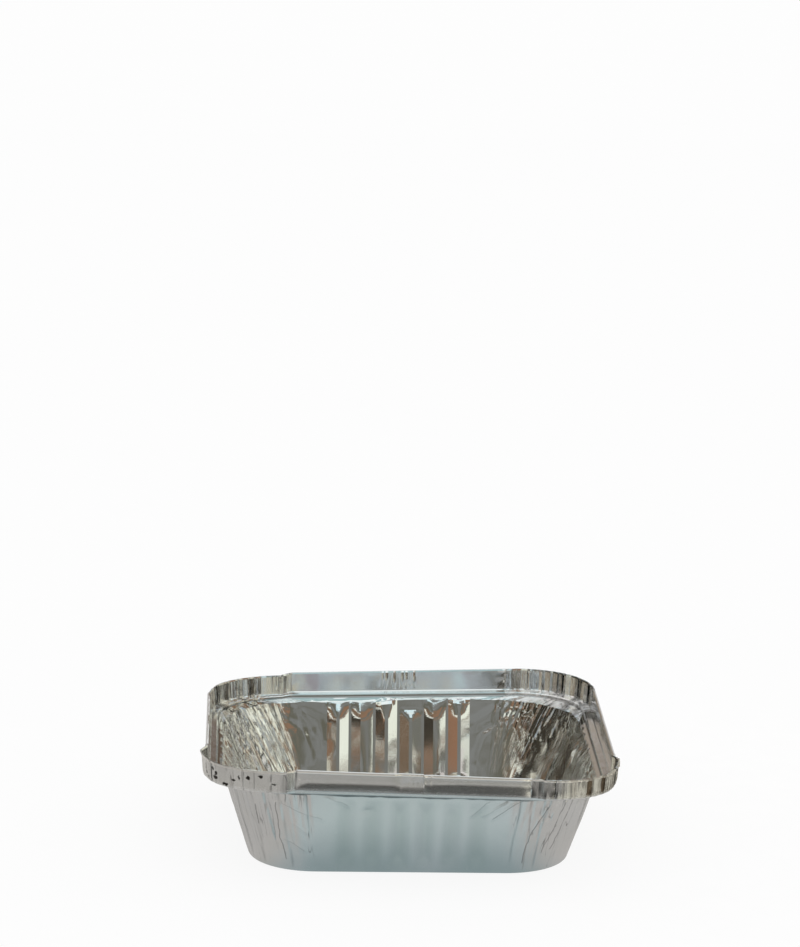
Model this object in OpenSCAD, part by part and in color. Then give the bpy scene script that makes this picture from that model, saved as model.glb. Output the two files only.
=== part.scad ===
// Square foil food container, pressed from one sheet of thin aluminium.
// The sheet is drawn into a tray with tapered walls. Its corners are gathered into folds,
// each wall is stiffened by pressed ribs, a stepped ledge seats a lid, and an upright
// flange runs round it. The edge of the flange is hemmed outward.
// Millimetres, +Z up. The origin is on the table, under the middle of the base.

/* [Rim] */
// Width across the hemmed edge, left to right
rim_width = 159; // [150:1:180]
// Length across the hemmed edge, front to back
rim_length = 159; // [150:1:180]
// Corner radius of the hemmed edge, seen from above
rim_corner_r = 34.3; // [32:0.1:37]
// Height of the flange above its foot on the ledge
flange_height = 8.4; // [6:0.1:12]
// How far the flange leans outward below its hem
flange_lean = 0.6; // [0.2:0.1:2]

/* [Condition] */
// Rise of two opposite corners, and fall of the other two, as the tray has warped
rim_warp = 2.3; // [0:0.1:4]
// Outward bend of the rim's corners: front right, back right, back left, front left
corner_bend = [1.6, 0.5, -0.3, 2.5]; // [-1.5:0.1:3]
// Squareness of the rim's corners in the same order: how far each passes its own arc
corner_bulge = [2.6, 0.5, 2.2, 3]; // [0:0.1:4]
// Fall of the rim's corners in the same order, below the edge of the straight sides
corner_drop = [0, 0, 1, 0.6]; // [0:0.1:1.5]

/* [Hem] */
// Height of the folded edge along the straight sides
hem_height = 1.2; // [0.8:0.1:2.5]
// Outward reach of the folded edge along the straight sides
hem_reach = 1; // [0.6:0.05:1.2]
// Height over which the edge flares outward to the crest of the fold
lip_rise = 0.6; // [0.3:0.05:0.8]
// Distance of the crest inside the outermost line of the fold
crest_inset = 0.25; // [0.1:0.05:0.4]
// Height of the folded edge where the corner folds press it flat
corner_hem_height = 0.9; // [0.7:0.1:1.5]
// Outward reach of the folded edge round the corners
corner_hem_reach = 0.5; // [0.4:0.05:0.8]

/* [Ledge] */
// Width of the ledge, from the flange's foot to the top of the wall
ledge_width = 5.05; // [4:0.05:8]
// Height of the flange's foot above the top of the wall
ledge_rise = 2.7; // [1.5:0.1:4]
// Width of the lid's seat beside the flange
seat_width = 2.6; // [1.6:0.1:3]
// Fall of the seat towards the wall
seat_fall = 0.5; // [0.1:0.05:0.8]
// Height of the steep step inside the seat
step_drop = 1.2; // [0.4:0.1:1.3]
// Width that the step takes up
step_run = 0.35; // [0.2:0.05:0.6]

/* [Walls] */
// Height of the top of the wall above the table
wall_height = 33.3; // [28:0.1:45]
// How far each wall spreads outward from the table to its top
wall_spread = 10.85; // [6:0.05:14]
// Corner radius of the walls at the table, seen from above
base_corner_r = 25.5; // [22:0.1:30]
// Corner radius of the walls at their top, seen from above
wall_corner_r = 34; // [28:0.1:36]

/* [Base] */
// Size of the rounded heel between base and wall, measured along the base
heel = 1.1; // [0.8:0.1:2.5]
// Width of the flat ring that the tray stands on
ring_width = 4.5; // [3:0.1:8]
// Height of the middle of the base above the standing ring
panel_lift = 0.35; // [0.2:0.05:1]
// Width of the slope between the standing ring and the middle of the base
panel_slope = 1.2; // [0.6:0.1:3]

/* [Ribs] */
// Least plain wall at each end of the row of ribs, which holds as many as fit between
rib_side_margin = 5.5; // [1:0.5:20]
// Distance from one rib to the next
rib_pitch = 10.1; // [8:0.1:14]
// Width of each rib's flat ridge
rib_ridge = 1.4; // [1:0.1:3]
// Width of the wall left flat between two ribs
rib_valley = 1.2; // [0.8:0.1:3]
// Depth of the ribs, into the tray
rib_depth = 1.5; // [0.5:0.1:3]
// Plain wall left above the ribs
rib_top_margin = 1.5; // [1:0.1:6]
// Height of the sloping facet at the top of each rib
rib_top_slope = 5.6; // [2:0.1:8]
// Height of the sloping facet at the foot of each rib
rib_foot_slope = 4; // [1:0.1:6]

/* [Corner folds] */
// Number of folds gathered into each corner of the wall
wall_folds = 13; // [6:1:14]
// Depth of these folds at the top of the wall, running out at the heel
fold_depth = 1.1; // [0.4:0.1:1.6]
// Number of pleats gathered into each corner of the rim
rim_pleats = 22; // [12:1:24]
// Depth of the pleats in the flange
pleat_depth = 0.9; // [0.3:0.1:1.2]
// Depth of the pleats across the ledge
ledge_pleat_depth = 0.6; // [0.2:0.05:0.9]

/* [Crimps] */
// Number of small crimps in the middle of each side's flange
crimp_count = 7; // [1:1:8]
// Distance from one crimp to the next
crimp_pitch = 2; // [1.2:0.1:3]
// Depth of the crimps
crimp_depth = 0.7; // [0.2:0.1:1]

/* [Foil] */
// Thickness of the foil
foil = 0.08; // [0.06:0.01:0.15]

/* [Hidden] */

SIDES = 4;
CORNER = 90;
// Segments round each corner of the base, where the foil is hardly gathered
base_steps = 8;
// Angle round the heel, from the standing ring, at which its middle section lies
heel_middle = 50;
// Each fold's steep side and the spread of the folds' places, as shares of one fold
fold_steep = 0.34;
place_spread = 0.13;
// Spread of the folds' depths, as a share of the full depth
depth_spread = 0.35;
// Angle over which a corner's bend begins beside the straight sides
bend_start = 7;
// The rounding of the shoulder between the step and the wall, as shares of its run and fall
shoulder_out = 0.55;
shoulder_up = 0.7;

flange_foot_inset = hem_reach + flange_lean;
wall_top_inset = flange_foot_inset + ledge_width;
base_inset = wall_top_inset + wall_spread;
flange_foot_z = wall_height + ledge_rise;
flange_top_z = flange_foot_z + flange_height;
step_inset = flange_foot_inset + seat_width + step_run;
step_foot_z = flange_foot_z - seat_fall - step_drop;
rib_flank = (rib_pitch - rib_ridge - rib_valley) / 2;
rib_top_z = wall_height - rib_top_margin;
panel_z = panel_lift + foil / 2;
ring_z = foil / 2;
heel_top_z = ring_z + heel;

// Sections of the tray by plan size: [half width, half length, corner radius, height]
function rim_section(inset, z) =
    [rim_width / 2 - inset, rim_length / 2 - inset, rim_corner_r - inset, z];
function base_section(inset, z) = [
    rim_width / 2 - base_inset - inset,
    rim_length / 2 - base_inset - inset,
    base_corner_r - inset,
    z
];
wall_foot = base_section(0, 0);
wall_head = [
    rim_width / 2 - wall_top_inset,
    rim_length / 2 - wall_top_inset,
    wall_corner_r,
    wall_height
];
function wall_section(z) = wall_foot + (wall_head - wall_foot) * (z / wall_height);

SECTIONS = [
    base_section(heel + ring_width + panel_slope, panel_z),
    base_section(heel + ring_width, ring_z),
    base_section(heel, ring_z),
    base_section(heel * (1 - sin(heel_middle)), ring_z + heel * (1 - cos(heel_middle))),
    wall_section(heel_top_z),
    wall_section(heel_top_z + rib_foot_slope),
    wall_section(rib_top_z - rib_top_slope),
    wall_section(rib_top_z),
    wall_head,
    rim_section(wall_top_inset - (wall_top_inset - step_inset) * shoulder_out,
        wall_height + (step_foot_z - wall_height) * shoulder_up),
    rim_section(step_inset, step_foot_z),
    rim_section(flange_foot_inset + seat_width, flange_foot_z - seat_fall),
    rim_section(flange_foot_inset, flange_foot_z),
    rim_section(hem_reach, flange_top_z - lip_rise),
    rim_section(crest_inset, flange_top_z),
    rim_section(0, flange_top_z - hem_height)
];
WALL_ROW = 4;
RIM_ROW = 8;
FOOT_ROW = 12;
FLANGE_ROW = 13;
LAST_ROW = len(SECTIONS) - 1;
ROWS = [for (row = [0 : LAST_ROW]) row];

// Depth of the corner folds and of the ribs or crimps on each section
function corner_depth(row) =
    row < WALL_ROW ? 0
    : row < RIM_ROW ? fold_depth * SECTIONS[row][3] / wall_height
    : row < FOOT_ROW ? ledge_pleat_depth
    : row == FOOT_ROW ? (ledge_pleat_depth + pleat_depth) / 2
    : pleat_depth;
function side_depth(row) =
    row == WALL_ROW + 1 || row == WALL_ROW + 2 ? rib_depth
    : row >= FLANGE_ROW ? crimp_depth
    : 0;
// Round the corners the hem is pressed tighter: [shift outward, shift upward]
function pressed_hem(row) = [
    row > FLANGE_ROW ? corner_hem_reach - hem_reach : 0,
    row == LAST_ROW ? hem_height - corner_hem_height : 0
];
// The flange carries the whole bend and fall of its corner, and the ledge a share of them
function bent(row, corner, angle) =
    let (
        share = min(1, max(0, (row - RIM_ROW) / (FOOT_ROW - RIM_ROW))),
        start = min(1, min(angle, CORNER - angle) / bend_start)
    )
    share * [
        corner_bend[corner] * start + corner_bulge[corner] * pow(sin(2 * angle), 2),
        -corner_drop[corner] * start
    ];

// Directions across the foil, in the plane of the profile: [outward, upward]
function unit(v) = v / norm(v);
function run(row) = unit([
    SECTIONS[row + 1][0] - SECTIONS[row][0],
    SECTIONS[row + 1][3] - SECTIONS[row][3]
]);
function turned(v) = [v[1], -v[0]];
function across(row) =
    row == 0 ? [0, -1]
    : row == LAST_ROW ? turned(run(row - 1))
    : turned(unit(run(row - 1) + run(row)));
ACROSS = [for (row = ROWS) across(row)];
// The hem follows the pleats of the flange that carries it
FOLD_ACROSS = [for (row = ROWS) row < FLANGE_ROW ? across(row) : turned(run(FOOT_ROW))];

// Places round a section: [side, 0 on the straight or 1 in the corner after it,
// distance from the side's middle or angle round the corner, share of the fold's depth]
function wobble(step, side) = sin(137.5 * step + 61 * side);
function folded_corner(side, folds) = [
    for (fold = [0 : folds - 1], face = [1, -1])
        let (place = fold + (1 - face * fold_steep) / 2 + place_spread * wobble(2 * fold + face, side))
            [
                side,
                1,
                CORNER * place / folds,
                face * (1 - depth_spread * abs(wobble(3 * fold + 1, side))) / 2
            ]
];
function plain_corner(side, steps) =
    [for (step = [1 : steps - 1]) [side, 1, CORNER * step / steps, 0]];
function rib_count(side) =
    let (half = min(wall_foot[side % 2] - wall_foot[2], wall_head[side % 2] - wall_head[2]))
    floor(2 * (half - rib_side_margin) / rib_pitch);
function ribs(side) = [
    for (rib = [0 : 1 : rib_count(side) - 1])
        let (middle = (rib - (rib_count(side) - 1) / 2) * rib_pitch)
            each [
                [side, 0, middle - rib_ridge / 2 - rib_flank, 0],
                [side, 0, middle - rib_ridge / 2, -1],
                [side, 0, middle + rib_ridge / 2, -1],
                [side, 0, middle + rib_ridge / 2 + rib_flank, 0]
            ]
];
function crimps(side) = [
    for (step = [-crimp_count : crimp_count])
        [side, 0, step * crimp_pitch / 2, abs(step) == crimp_count ? 0 : (abs(step) % 2) - 1]
];
function ring_of(side_places, corner_places) = [
    for (side = [0 : SIDES - 1]) each [
        [(side + SIDES - 1) % SIDES, 1, CORNER, 0],
        each side_places[side],
        [side, 1, 0, 0],
        each corner_places[side]
    ]
];
BASE_RING = ring_of(
    [for (side = [0 : SIDES - 1]) []],
    [for (side = [0 : SIDES - 1]) plain_corner(side, base_steps)]
);
WALL_RING = ring_of(
    [for (side = [0 : SIDES - 1]) ribs(side)],
    [for (side = [0 : SIDES - 1]) folded_corner(side, wall_folds)]
);
RIM_RING = ring_of(
    [for (side = [0 : SIDES - 1]) crimps(side)],
    [for (side = [0 : SIDES - 1]) folded_corner(side, rim_pleats)]
);
function ring(row) = row < WALL_ROW ? BASE_RING : row < RIM_ROW ? WALL_RING : RIM_RING;

// A place's depth, and its point on one face of the foil: face is 1 outside, -1 inside
function depth_at(row, place) =
    place[3] * (place[1] == 1 ? corner_depth(row) : side_depth(row));
function straight_half(row, side) = SECTIONS[row][side % 2] - SECTIONS[row][2];
function in_corner(place) = place[1] == 1 && place[2] > 0 && place[2] < CORNER;
function flat_point(row, place, shift) =
    let (
        across_half = SECTIONS[row][1 - place[0] % 2],
        r = SECTIONS[row][2],
        along = straight_half(row, place[0])
    )
    place[1] == 0
        ? [place[2], -across_half - shift]
        : [along + (r + shift) * sin(place[2]), r - across_half - (r + shift) * cos(place[2])];
function quarter_turned(p, turns) =
    turns == 0 ? p : quarter_turned([-p[1], p[0]], turns - 1);
function warped(p) =
    [p[0], p[1], p[2] + rim_warp * 4 * p[0] * p[1] / (rim_width * rim_length) * p[2] / flange_top_z];
function point_at(row, place, face) =
    let (
        shift = ACROSS[row] * face * foil / 2
            + FOLD_ACROSS[row] * depth_at(row, place)
            + (in_corner(place) ? pressed_hem(row) + bent(row, place[0], place[2]) : [0, 0]),
        p = quarter_turned(flat_point(row, place, shift[0]), place[0])
    )
    warped([p[0], p[1], SECTIONS[row][3] + shift[1]]);
function skin_points(face) = [
    [0, 0, panel_z - face * foil / 2],
    for (row = ROWS) for (place = ring(row)) point_at(row, place, face)
];

// Number of a point within one skin, whose first point is the middle of the base
function ring_start(row) = row == 0 ? 1 : ring_start(row - 1) + len(ring(row - 1));
STARTS = [for (row = ROWS) ring_start(row)];
SKIN_POINTS = ring_start(LAST_ROW) + len(ring(LAST_ROW));
function id(row, step) = STARTS[row] + step % len(ring(row));

// Facets between two sections with the same places. Each quad is split along the crease
// that leaves its deepest corner.
function deepest(row, a, b) =
    max(abs(depth_at(row, ring(row)[a])), abs(depth_at(row + 1, ring(row)[b])));
function band(row) =
    let (count = len(ring(row)))
    [
        for (i = [0 : count - 1])
            let (j = (i + 1) % count, a = id(row, i), b = id(row, j), c = id(row + 1, j), d = id(row + 1, i))
                each deepest(row, i, j) >= deepest(row, j, i)
                    ? [[a, d, c], [a, c, b]]
                    : [[a, d, b], [d, c, b]]
    ];
// Facets between two sections with different places, zipped together in order
function round_share(row, place) =
    place[1] == 1
        ? (2 * place[0] + 1 + place[2] / CORNER) % (2 * SIDES)
        : 2 * place[0] + (place[2] / straight_half(row, place[0]) + 1) / 2;
function middles(row) =
    let (shares = [for (place = ring(row)) round_share(row, place), 2 * SIDES])
    [for (i = [0 : len(shares) - 2]) (shares[i] + shares[i + 1]) / 2];
function zip(row) =
    let (low = middles(row), high = middles(row + 1))
    [
        for (i = [0 : len(low) - 1])
            let (apex = len([for (m = high) if (m < low[i]) m]))
                [id(row, i), id(row + 1, apex), id(row, i + 1)],
        for (i = [0 : len(high) - 1])
            let (apex = len([for (m = low) if (m <= high[i]) m]))
                [id(row, apex), id(row + 1, i), id(row + 1, i + 1)]
    ];
function panel() = [for (i = [0 : len(BASE_RING) - 1]) [0, id(0, i), id(0, i + 1)]];
SKIN_FACES = [
    each panel(),
    for (row = [0 : LAST_ROW - 1])
        each row + 1 == WALL_ROW || row + 1 == RIM_ROW ? zip(row) : band(row)
];
EDGE_FACES = [
    for (i = [0 : len(RIM_RING) - 1])
        let (a = id(LAST_ROW, i), b = id(LAST_ROW, i + 1), c = b + SKIN_POINTS, d = a + SKIN_POINTS)
            each [[a, d, c], [a, c, b]]
];

// The whole tray: outer skin, inner skin and the cut edge of the foil between them
module tray() {
    color("silver")
        polyhedron(
            points = [each skin_points(1), each skin_points(-1)],
            faces = [
                each SKIN_FACES,
                for (face = SKIN_FACES) [for (i = [2 : -1 : 0]) face[i] + SKIN_POINTS],
                each EDGE_FACES
            ]
        );
}

tray();
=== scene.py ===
import math
from functools import partialmethod

import bpy
import numpy as np
from mathutils import Matrix, Vector


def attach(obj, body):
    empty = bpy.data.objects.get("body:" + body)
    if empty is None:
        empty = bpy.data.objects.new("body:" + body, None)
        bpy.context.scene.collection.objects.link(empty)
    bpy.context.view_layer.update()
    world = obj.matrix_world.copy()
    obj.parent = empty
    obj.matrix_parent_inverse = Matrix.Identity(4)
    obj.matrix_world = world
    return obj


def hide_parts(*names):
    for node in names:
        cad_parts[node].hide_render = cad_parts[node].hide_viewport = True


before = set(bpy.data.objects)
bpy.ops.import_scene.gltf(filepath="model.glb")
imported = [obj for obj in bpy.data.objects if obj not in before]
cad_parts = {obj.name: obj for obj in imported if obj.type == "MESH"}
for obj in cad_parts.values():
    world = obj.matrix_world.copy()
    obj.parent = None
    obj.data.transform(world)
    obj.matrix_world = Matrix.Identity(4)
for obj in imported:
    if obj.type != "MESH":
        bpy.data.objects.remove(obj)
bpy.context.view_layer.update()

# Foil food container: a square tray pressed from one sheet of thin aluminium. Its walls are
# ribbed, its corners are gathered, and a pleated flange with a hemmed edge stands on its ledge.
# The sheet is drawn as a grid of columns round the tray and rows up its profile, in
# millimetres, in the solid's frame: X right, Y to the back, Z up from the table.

MM = 0.001

# ---- Sizes of the pressed form, as the solid has them

RIM_HALF = 79.5
RIM_CORNER = 34.3
HEM_REACH = 1.0
HEM_HEIGHT = 1.2
LIP_RISE = 0.6
CREST_INSET = 0.25
CORNER_HEM_REACH = 0.5
CORNER_HEM_HEIGHT = 0.9
FLANGE_LEAN = 0.6
FLANGE_HEIGHT = 8.4
LEDGE_WIDTH = 5.05
LEDGE_RISE = 2.7
SEAT_WIDTH = 2.6
SEAT_FALL = 0.5
STEP_DROP = 1.2
STEP_RUN = 0.35
WALL_HEIGHT = 33.3
WALL_CORNER = 34.0
WALL_SPREAD = 10.85
BASE_CORNER = 25.5
HEEL = 1.1
RING_WIDTH = 4.5
PANEL_SLOPE = 1.2
PANEL_LIFT = 0.35
FOIL = 0.08
RIM_WARP = 2.3

RIB_COUNT = 6
RIB_PITCH = 10.1
RIB_RIDGE = 1.4
RIB_VALLEY = 1.2
RIB_DEPTH = 1.5
RIB_TOP_MARGIN = 1.5
RIB_TOP_SLOPE = 5.6

# Slope of the ribs' feet on the front, right, back and left walls: shorter than the solid's on
# all but the front
RIB_FOOT_SLOPES = (6.0, 4.5, 2.5, 4.5)
# The crimps are more and finer than the solid's
CRIMP_COUNT = 9
CRIMP_PITCH = 1.65
CRIMP_DEPTH = 0.24
CRIMP_WIDTH = 0.5

# Sides in order, and in each list the corner after each: front right, back right, back left,
# front left
FRONT, RIGHT, BACK, LEFT = range(4)
CORNER_BEND = (1.6, 0.5, -0.3, 2.5)
CORNER_BULGE = (2.6, 0.5, 2.2, 3.0)
CORNER_DROP = (0.0, 0.0, 1.0, 0.6)
BEND_START = 7.0
PLEATS = (28, 28, 32, 13)
PLEAT_COLUMNS = (4, 4, 4, 8)
PLEAT_DEPTH = (1.1, 0.75, 0.8, 0.34)
PLEAT_LEANS = (0.55, 0.6, 0.6, 0.8)
# How much dark stain with painted shade each corner's pleats get
PLEAT_STAINS_AND_SHADE = (1.0, 0.25, 0.25, 0.1)
LEDGE_PLEATS = (0.2, 0.26, 0.5, 0.4)
WALL_FOLDS = (15, 26, 30, 15)
FOLD_DEPTH = (0.6, 0.5, 0.6, 0.58)
FOLD_SKEW = (0.0, 0.5, -0.5, 0.0)
CORNER_LEAN = (0.0, 20.0, -20.0, 0.0)
CRUMPLE = (0.38, 0.58, 0.25, 0.34)
# Heights between which the folds of each corner run out
FOLD_ENDS = ((-14, 16), (10, 27), (-14, 14), (-14, 16))
# The back wall's plain foil runs on into its corners: the degrees over which gathers begin
LEFT_GATHERS, RIGHT_GATHERS = (14, 26), (0, 6)
# Facets that meet at more degrees than this have a sharp crease between them
CREASE_ANGLE = 17

LEDGE_TOP = WALL_HEIGHT + LEDGE_RISE
FLANGE_TOP = LEDGE_TOP + FLANGE_HEIGHT
FOOT_INSET = HEM_REACH + FLANGE_LEAN
WALL_INSET = FOOT_INSET + LEDGE_WIDTH
BASE_INSET = WALL_INSET + WALL_SPREAD
RIB_FLANK = (RIB_PITCH - RIB_RIDGE - RIB_VALLEY) / 2


# ---- Even noise over the foil, the same at each run

class Noise:
    """Smooth noise from -1 to 1 through a table of seeded values."""

    def __init__(self, seed, cells=32):
        self.table = np.random.default_rng(seed).uniform(-1, 1, (cells, cells, cells))
        self.cells = cells

    def __call__(self, points, size):
        place = np.asarray(points) / size
        low = np.floor(place).astype(int)
        part = place - low
        part = part * part * (3 - 2 * part)
        total = 0.0
        for corner in np.ndindex(2, 2, 2):
            weight = np.ones(part.shape[:-1])
            cell = []
            for axis in range(3):
                side = corner[axis]
                weight = weight * (part[..., axis] if side else 1 - part[..., axis])
                cell.append((low[..., axis] + side) % self.cells)
            total = total + weight * self.table[tuple(cell)]
        return total


def fold_wave(phase):
    """Triangle wave from -1 to 1: flat facets that meet in sharp creases."""
    return 4 * np.abs(phase - np.floor(phase) - 0.5) - 1


def peak(value, middle=0, width=1):
    """1 at the middle, falling evenly to 0 at the width on either side."""
    return np.maximum(0, 1 - np.abs(value - middle) / width)


def ramp(value, start, end):
    return np.clip((value - start) / (end - start), 0, 1)


def ease(value, start, end):
    share = ramp(value, start, end)
    return share * share * (3 - 2 * share)


# ---- Rows: the profile of the tray, from the middle of the base to the top of the flange

# Millimetres a step along the profile, and the steps of the blur that rounds its bends
BLUR_STEP = 0.02
BLUR_REACH, BLUR_WIDTH = 40, 8


def profile_rows():
    """Rows as [inset from the rim, corner radius, height] with the profile's run at each."""
    seat_z = LEDGE_TOP - SEAT_FALL
    step_inset = FOOT_INSET + SEAT_WIDTH + STEP_RUN
    step_z = seat_z - STEP_DROP
    shoulder_inset = WALL_INSET + (step_inset - WALL_INSET) * 0.55
    shoulder_z = WALL_HEIGHT + (step_z - WALL_HEIGHT) * 0.7

    def rim(inset, z):
        return (inset, RIM_CORNER - inset, z)

    def base(inset, z):
        return (BASE_INSET + inset, BASE_CORNER - inset, z)

    def wall(z):
        share = z / WALL_HEIGHT
        radius = BASE_CORNER + (WALL_CORNER - BASE_CORNER) * share
        return (BASE_INSET - WALL_SPREAD * share, radius, z)

    # Each bend of the profile, with the rows up to the next bend
    bends = [
        (base(HEEL + RING_WIDTH + PANEL_SLOPE, PANEL_LIFT), 2),
        (base(HEEL + RING_WIDTH, 0), 2),
        (base(HEEL, 0), 2),
        (base(HEEL * 0.3, HEEL * 0.35), 2),
        (wall(HEEL), 27),
        (wall(WALL_HEIGHT), 2),
        (rim(shoulder_inset, shoulder_z), 2),
        (rim(step_inset, step_z), 3),
        (rim(FOOT_INSET + SEAT_WIDTH, seat_z), 2),
        (rim(FOOT_INSET, LEDGE_TOP), 7),
        (rim(HEM_REACH, FLANGE_TOP - LIP_RISE), 0),
    ]
    points = np.array([bend[0] for bend in bends])
    runs = np.hypot(np.diff(points[:, 0]), np.diff(points[:, 2]))
    lengths = np.concatenate([[0], np.cumsum(runs)])

    # The bends are pressed round: a short blur along the profile
    fine = np.arange(0, lengths[-1], BLUR_STEP)
    soft = np.stack([np.interp(fine, lengths, points[:, axis]) for axis in range(3)], 1)
    reach = np.arange(-BLUR_REACH, BLUR_REACH + 1)
    bell = np.exp(-0.5 * (reach / BLUR_WIDTH) ** 2)
    bell /= bell.sum()
    for axis in range(3):
        padded = np.pad(soft[:, axis], BLUR_REACH, mode="reflect", reflect_type="odd")
        soft[:, axis] = np.convolve(padded, bell, mode="valid")

    places = [0.0]
    for (start, end, (_, count)) in zip(lengths[:-1], lengths[1:], bends):
        margin = min(0.3, (end - start) / 5)
        places += list(np.linspace(start + margin, end - margin, count))
    places.append(lengths[-1])
    places = np.array(places)
    rows = np.stack([np.interp(places, fine, soft[:, axis]) for axis in range(3)], 1)
    rise = np.stack([-np.gradient(rows[:, 0]), np.gradient(rows[:, 2])], 1)
    rise /= np.linalg.norm(rise, axis=1)[:, None]
    return rows, np.stack([rise[:, 1], -rise[:, 0]], 1), places, lengths


ROWS, ACROSS, PROFILE_LENGTH, BEND_LENGTHS = profile_rows()
PROFILE_COUNT = len(ROWS)
HEEL_LENGTH, HEAD_LENGTH, SEAT_LENGTH, FOOT_LENGTH = (BEND_LENGTHS[i] for i in (4, 5, 8, 9))
STEP_LENGTH = BEND_LENGTHS[7]
HEIGHT = ROWS[:, 2:3]
UNDER_TOP = WALL_HEIGHT - HEIGHT
HALF_ARC = np.radians(45) * ROWS[:, 1:2]
LENGTH = PROFILE_LENGTH[:, None]
ON_WALL = ramp(LENGTH, HEEL_LENGTH, HEEL_LENGTH + 2) * (LENGTH <= HEAD_LENGTH)
ON_LEDGE = (LENGTH > HEAD_LENGTH) & (LENGTH < FOOT_LENGTH)
ON_FLANGE = LENGTH >= FOOT_LENGTH


# ---- Columns: places round the tray, the same on each row

class Columns:
    """Sides run front, right, back, left, each followed by the corner after it."""

    NAMES = ("side", "corner", "along", "turn", "lap", "share", "decay", "stain")

    def __init__(self):
        for name in self.NAMES:
            setattr(self, name, [])
        for side in range(4):
            for along in self.straight_places():
                self.add(side, 0, along=along)
            self.gather(side)
        for name in self.NAMES:
            setattr(self, name, np.array(getattr(self, name), float)[None, :])
        self.count = self.side.shape[1]

    def add(self, side, corner, along=0.0, turn=0.0, lap=0.0, share=0.0, decay=10.0, stain=0.0):
        for name, value in zip(self.NAMES, (side, corner, along, turn, lap, share, decay, stain)):
            getattr(self, name).append(value)

    @staticmethod
    def straight_places():
        """Columns along the edges and the middle of each rib's flanks, and along the crimps."""
        places = set()
        for rib in range(RIB_COUNT):
            middle = (rib - (RIB_COUNT - 1) / 2) * RIB_PITCH
            for share in (0, 0.5, 1):
                edge = RIB_RIDGE / 2 + RIB_FLANK * share
                places |= {round(middle + edge, 3), round(middle - edge, 3)}
        for crimp in range(CRIMP_COUNT):
            middle = (crimp - (CRIMP_COUNT - 1) / 2) * CRIMP_PITCH
            for place in (middle - CRIMP_WIDTH, middle, middle + CRIMP_WIDTH):
                if all(abs(place - other) > 0.22 for other in places):
                    places.add(round(place, 3))
        for place in (32, 34, 36.2, 38.5, 40.8, 43, 44.4):
            places |= {place, -place}
        return sorted(places)

    def gather(self, side):
        """Each pleat is a leaning strip. Its ends may lap over its neighbours."""
        count, parts = PLEATS[side], PLEAT_COLUMNS[side]
        chance = np.random.default_rng(40 + side)
        widths = chance.uniform(0.55, 1.5, count)
        edges = np.concatenate([[0], np.cumsum(widths)]) * 90 / widths.sum()
        leans = np.where(chance.uniform(size=count) < PLEAT_LEANS[side], 1, -1)
        leans = leans * (1 if side in (FRONT, BACK) else -1)
        near_end = np.minimum(np.arange(count) + 1, count - np.arange(count)) / 2
        depths = chance.uniform(0.45, 1.15, count) * np.minimum(1, near_end)
        decays = chance.choice([2.5, 5, 9, 16, 24], count)
        for pleat in range(count):
            low, high = -leans[pleat] * depths[pleat] / 2, leans[pleat] * depths[pleat] / 2
            laps = chance.uniform(0.0, 0.35, 2)
            # Some pleats get a dark stain with painted shade
            stain = PLEAT_STAINS_AND_SHADE[side] * chance.choice([0.0, 0.15, 0.3, 1.0])
            stain *= 1 if side or edges[pleat] > 20 else 0.2
            places = np.linspace(0.06, 0.94, parts)
            if parts > 6:
                places = np.concatenate([[0.03], np.linspace(0.09, 0.91, parts - 2), [0.97]])
            for part, place in enumerate(places):
                turn = edges[pleat] + (edges[pleat + 1] - edges[pleat]) * place
                lap = {0: -laps[0], parts - 1: laps[1]}.get(part, 0)
                self.add(side, 1, turn=turn, lap=lap, share=low + (high - low) * place,
                         decay=decays[pleat], stain=stain)


COLUMNS = Columns()
IN_CORNER = COLUMNS.corner > 0
IN_BACK_RIGHT = IN_CORNER & (COLUMNS.side == RIGHT)


def straight_half(rows):
    return RIM_HALF - rows[:, 0:1] - rows[:, 1:2]


def along_straight(rows):
    """Ribs and crimps keep their places; the plain ends stretch to meet the corners."""
    field = RIB_COUNT * RIB_PITCH / 2 + 0.7
    over = np.abs(COLUMNS.along) - field
    end = straight_half(rows)
    stretched = field + over * (end - field) / (RIM_HALF - RIM_CORNER - field)
    return np.where(over > 0, np.sign(COLUMNS.along) * stretched, COLUMNS.along)


def place_sheet(rows, turn, outward, upward):
    """Points of the sheet: each row's outline, shifted outward and upward, and warped."""
    radius = rows[:, 1:2] + outward
    angle = np.radians(turn)
    half = RIM_HALF - rows[:, 0:1]
    end = straight_half(rows)
    x = np.where(IN_CORNER, end + radius * np.sin(angle), along_straight(rows))
    y = np.where(IN_CORNER, rows[:, 1:2] - half - radius * np.cos(angle), -half - outward)
    z = np.broadcast_to(rows[:, 2:3], x.shape) + upward
    for quarter in range(1, 4):
        mask = np.broadcast_to(COLUMNS.side >= quarter, x.shape)
        x, y = np.where(mask, -y, x), np.where(mask, x, y)
    z = z + RIM_WARP * x * y / RIM_HALF ** 2 * z / FLANGE_TOP
    return np.stack([x, y, z], -1)


# ---- What the press and the handling have done to the sheet: shifts outward, in millimetres

def by_corner(values):
    """One value for each corner, spread over the columns."""
    return np.choose(COLUMNS.side.astype(int), values)


PLAIN = np.zeros((PROFILE_COUNT, COLUMNS.count))
GATHERED = IN_CORNER * np.where(COLUMNS.side == BACK, ease(COLUMNS.turn, *LEFT_GATHERS), 1.0)
GATHERED = GATHERED * np.where(COLUMNS.side == RIGHT, ease(90 - COLUMNS.turn, *RIGHT_GATHERS), 1.0)
# From 0 at the ends of a corner to 1 in its middle
MID_CORNER = np.sin(np.radians(2 * COLUMNS.turn))
# The gathers of the back corners lean: their columns turn on the way down the wall
TURN = COLUMNS.turn + by_corner(CORNER_LEAN) * MID_CORNER * ramp(HEIGHT, WALL_HEIGHT, 0)
SMOOTH_SHEET = place_sheet(ROWS, TURN, PLAIN, PLAIN)
AROUND = np.where(
    IN_CORNER,
    straight_half(ROWS) + np.radians(TURN) * ROWS[:, 1:2],
    along_straight(ROWS),
)
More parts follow.
